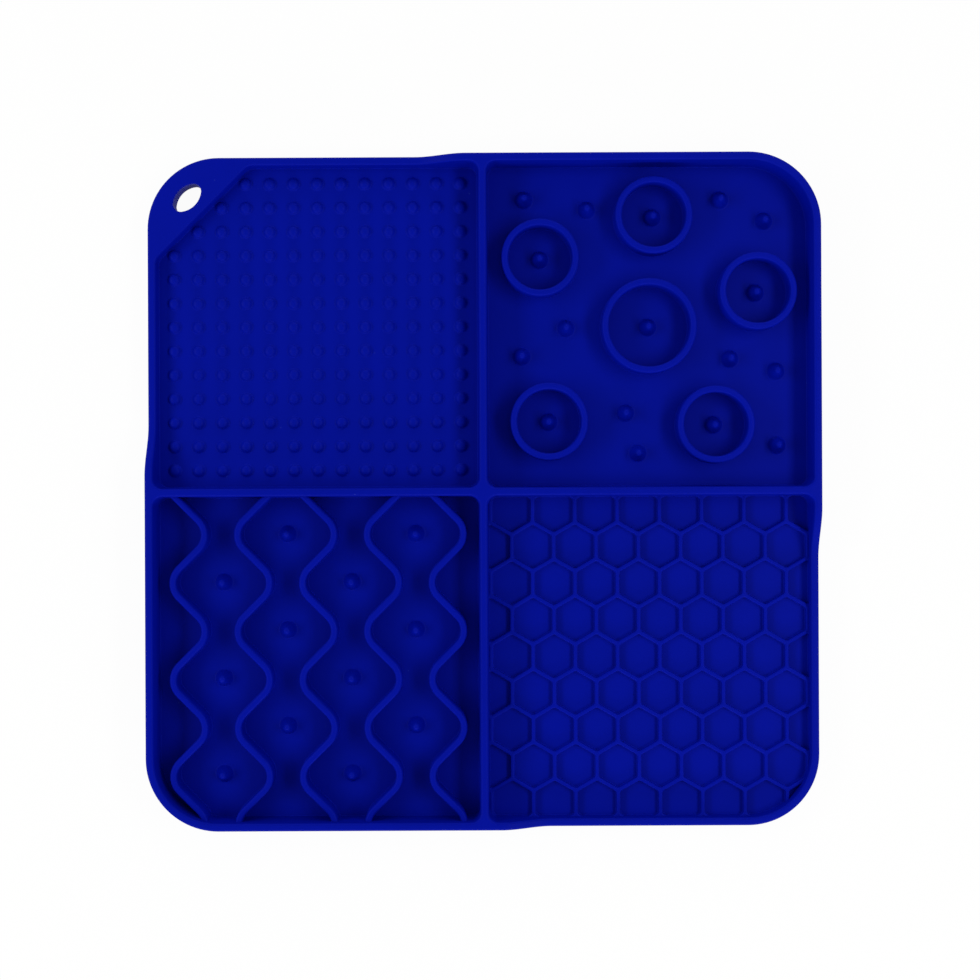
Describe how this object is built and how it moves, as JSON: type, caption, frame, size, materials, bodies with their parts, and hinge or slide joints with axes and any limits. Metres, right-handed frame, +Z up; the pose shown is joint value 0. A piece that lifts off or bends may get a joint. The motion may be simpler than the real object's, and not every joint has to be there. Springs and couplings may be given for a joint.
{
  "type": "lick mat",
  "caption": "Square silicone lick mat divided into trays with different raised patterns: nubs, rings with pegs, zigzag ribs and a honeycomb. Raised rim, oval hanging hole in a corner tab.",
  "frame": {"origin": "middle of the mat's outline, on the flat underside", "axes": "+Z up out of the trays, +X to the right and +Y to the back as seen from above, with the hanging hole at the back left corner"},
  "size_m": [0.2, 0.2, 0.0105],
  "materials": {
    "silicone": "satin"
  },
  "bodies": {
    "root": {"floor_sheet": "silicone", "nub_tray_left_rim": "silicone", "nub_tray_back_rim": "silicone", "ring_tray_rim": "silicone", "wave_tray_rim": "silicone", "comb_tray_rim": "silicone", "hanging_tab": "silicone", "divider_cross": "silicone", "nub_field": "silicone", "ring_middle": "silicone", "ring_left": "silicone", "ring_back": "silicone", "ring_right": "silicone", "ring_front_right": "silicone", "ring_front_left": "silicone", "wave_rib_1": "silicone", "wave_rib_2": "silicone", "wave_rib_3": "silicone", "wave_rib_4": "silicone", "wave_rib_5": "silicone", "ring_pegs": "silicone", "loose_pegs": "silicone", "wave_pegs": "silicone", "honeycomb": "silicone"}
  },
  "joints": []
}
